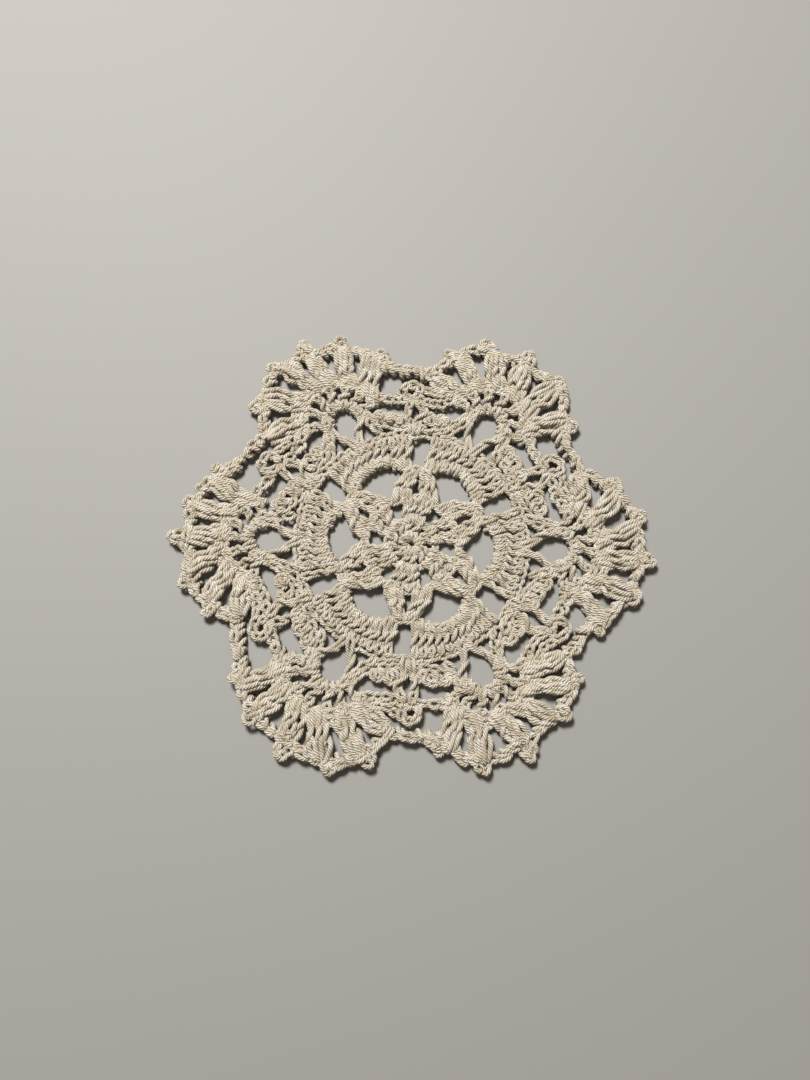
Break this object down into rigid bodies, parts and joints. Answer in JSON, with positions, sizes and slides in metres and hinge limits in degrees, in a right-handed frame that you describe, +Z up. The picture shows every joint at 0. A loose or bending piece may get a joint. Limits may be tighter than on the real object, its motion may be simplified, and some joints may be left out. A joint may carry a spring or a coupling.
{
  "type": "lace doily",
  "caption": "Flat crocheted cotton doily with a star centre and fan-shaped scallops, laid under a cup, vase or ornament to dress and protect a table top.",
  "frame": {"origin": "middle of the doily on the surface it lies on, at the centre of the bounding box in plan and at its underside", "axes": "+Z up through the thickness, away from the surface; +X from the middle out along one fan, the widest way across; +Y in the plane of the doily, towards the gap between two fans"},
  "size_m": [0.1234, 0.1122, 0.0029],
  "materials": {
    "cotton": "matte unbleached plied cotton thread, crocheted"
  },
  "bodies": {
    "root": {"doily": "cotton"}
  },
  "joints": []
}
